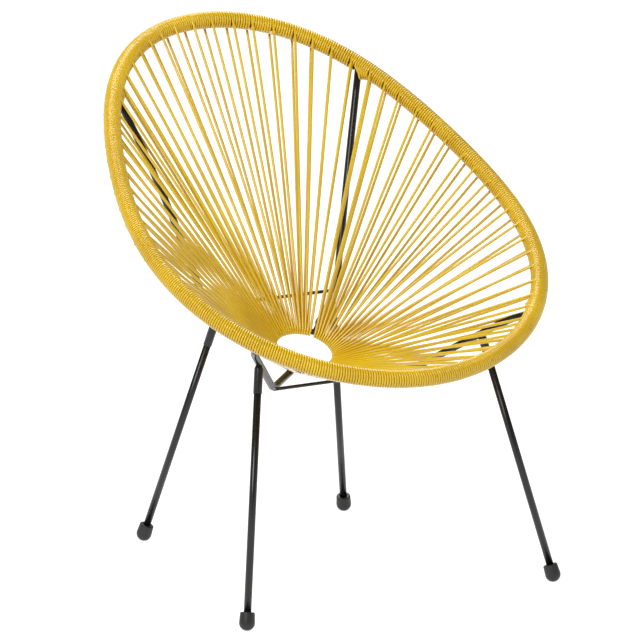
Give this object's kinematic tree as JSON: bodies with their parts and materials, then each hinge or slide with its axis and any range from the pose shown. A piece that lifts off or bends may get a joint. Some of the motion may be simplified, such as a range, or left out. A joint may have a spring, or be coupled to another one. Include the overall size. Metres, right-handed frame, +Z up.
{
  "type": "acapulco chair",
  "caption": "Acapulco patio chair: a yellow cord basket strung and wound on an egg-shaped hoop, on a black steel tube frame with splayed plug-in legs.",
  "frame": {"origin": "on the floor, under the middle of the chair's bounding box", "axes": "+Z up, +X to the sitter's left, -Y the way the seat faces"},
  "size_m": [0.7306, 0.8149, 0.885],
  "materials": {
    "frame_steel": "satin black powder coat on steel tube",
    "cord": "glossy golden yellow vinyl cord",
    "foot_rubber": "matt black moulded rubber"
  },
  "bodies": {
    "root": {"rim_hoop": "frame_steel", "centre_ring": "frame_steel", "rear_arm_left": "frame_steel", "rear_arm_right": "frame_steel", "front_arm_left": "frame_steel", "front_arm_right": "frame_steel", "rear_cross_bar": "frame_steel", "front_cross_bar": "frame_steel", "front_leg_socket_left": "frame_steel", "front_leg_left": "frame_steel", "front_foot_cap_left": "foot_rubber", "front_leg_socket_right": "frame_steel", "front_leg_right": "frame_steel", "front_foot_cap_right": "foot_rubber", "rear_leg_socket_left": "frame_steel", "rear_leg_left": "frame_steel", "rear_foot_cap_left": "foot_rubber", "rear_leg_socket_right": "frame_steel", "rear_leg_right": "frame_steel", "rear_foot_cap_right": "foot_rubber", "cord_run_01": "cord", "cord_run_02": "cord", "cord_run_03": "cord", "cord_run_04": "cord", "cord_run_05": "cord", "cord_run_06": "cord", "cord_run_07": "cord", "cord_run_08": "cord", "cord_run_09": "cord", "cord_run_10": "cord", "cord_run_11": "cord", "cord_run_12": "cord", "cord_run_13": "cord", "cord_run_14": "cord", "cord_run_15": "cord", "cord_run_16": "cord", "cord_run_17": "cord", "cord_run_18": "cord", "cord_run_19": "cord", "cord_run_20": "cord", "cord_run_21": "cord", "cord_run_22": "cord"}
  },
  "joints": []
}
